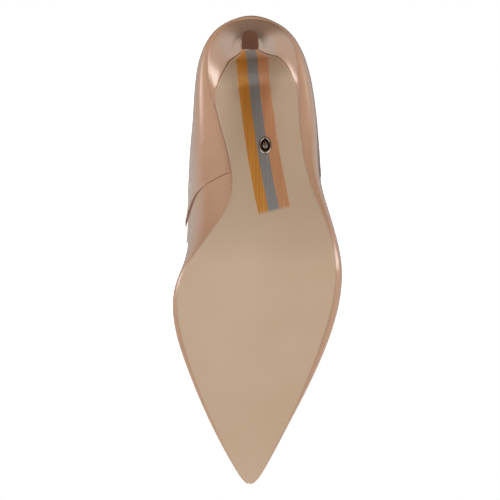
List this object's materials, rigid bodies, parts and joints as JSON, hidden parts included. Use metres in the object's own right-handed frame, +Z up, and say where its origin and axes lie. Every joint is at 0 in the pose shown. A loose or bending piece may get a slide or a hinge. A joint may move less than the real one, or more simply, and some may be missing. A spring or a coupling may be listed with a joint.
{
  "type": "high-heeled court shoe",
  "caption": "Right high-heeled court shoe with a pointed toe, slim covered heel, patent upper and a stiffened, padded sole.",
  "frame": {"origin": "under the middle of the shoe's bounding box, on the ground plane", "axes": "+X towards the toe, +Y towards the inner side of a right foot, +Z up"},
  "size_m": [0.2272, 0.0788, 0.141],
  "materials": {
    "patent_upper": "nude patent leather, high gloss",
    "lining": "smooth pale lining leather, satin",
    "stiffener": "impregnated fibre sheet, matt",
    "tape": "woven cotton tape",
    "thread": "nylon thread, satin",
    "board": "cellulose insole board, matt",
    "shank_steel": "bright spring steel",
    "filler": "granulated cork sheet",
    "outsole": "smooth tan synthetic leather, satin, three brush-stroke stripes",
    "badge": "dark polished metal",
    "heel_plastic": "moulded ABS",
    "top_lift": "brown polyurethane, satin",
    "steel_fixing": "zinc-plated steel",
    "foam": "soft latex foam",
    "sock": "soft sock leather, satin"
  },
  "bodies": {
    "root": {"upper": "patent_upper", "heel_cover": "patent_upper", "vamp_lining": "lining", "quarter_lining": "lining", "heel_counter": "stiffener", "toe_puff": "stiffener", "topline_tape": "tape", "topline_stitching": "thread", "seam_stitching": "thread", "insole_board": "board", "shank_board": "board", "steel_shank": "shank_steel", "shank_rivets": "steel_fixing", "bottom_filler": "filler", "outsole": "outsole", "badge": "badge", "heel_core": "heel_plastic", "heel_tube": "steel_fixing", "top_lift": "top_lift", "top_lift_pin": "steel_fixing", "heel_screw": "steel_fixing", "heel_nails": "steel_fixing", "heel_pad": "foam", "forefoot_pad": "foam", "sock_lining": "sock"}
  },
  "joints": []
}
